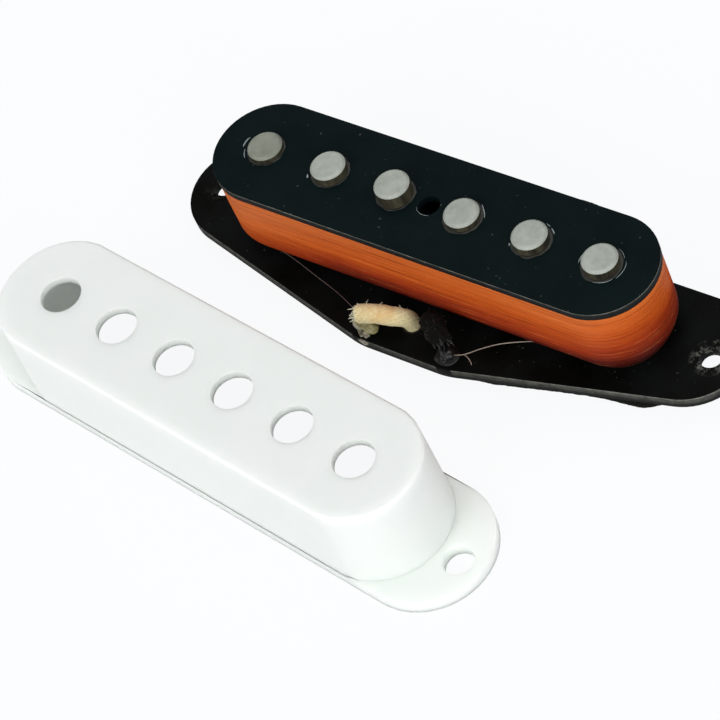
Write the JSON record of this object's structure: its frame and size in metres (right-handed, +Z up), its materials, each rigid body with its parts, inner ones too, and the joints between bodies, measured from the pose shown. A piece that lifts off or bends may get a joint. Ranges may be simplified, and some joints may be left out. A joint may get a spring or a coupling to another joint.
{
  "type": "guitar pickup",
  "caption": "Single-coil electric guitar pickup with staggered rod magnets, open coil and cloth leads, lying beside its moulded cover.",
  "frame": {"origin": "on the floor, under the middle of the box round the pickup and its cover, leads left out", "axes": "+X along the row of magnets, +Y from the cover towards the pickup, +Z up through the magnets"},
  "size_m": [0.0998, 0.0622, 0.0201],
  "materials": {
    "fibre": "satin",
    "magnet_metal": "satin",
    "copper_wire": "satin",
    "eyelet_brass": "satin",
    "solder": "satin",
    "white_cloth": "matte",
    "black_cloth": "matte",
    "tinned_wire": "satin",
    "cover_plastic": "satin"
  },
  "bodies": {
    "pickup": {"top_plate": "fibre", "base_plate": "fibre", "magnet_1": "magnet_metal", "magnet_2": "magnet_metal", "magnet_3": "magnet_metal", "magnet_4": "magnet_metal", "magnet_5": "magnet_metal", "magnet_6": "magnet_metal", "coil_core": "copper_wire", "coil_outer_turns": "copper_wire", "coil_start_wire": "copper_wire", "coil_finish_wire": "copper_wire", "eyelet_left": "eyelet_brass", "eyelet_right": "eyelet_brass", "solder_left": "solder", "solder_right": "solder", "white_lead_run": "white_cloth", "white_lead_coil": "white_cloth", "white_lead_tip": "tinned_wire", "black_lead_run": "black_cloth", "black_lead_coil": "black_cloth", "black_lead_tip": "tinned_wire"},
    "cover": {"cover": "cover_plastic"}
  },
  "joints": [
    {"name": "cover_lift", "type": "slide", "parent": "pickup", "child": "cover", "axis": [0, 0, 1], "range_m": [0, 0.025]}
  ]
}
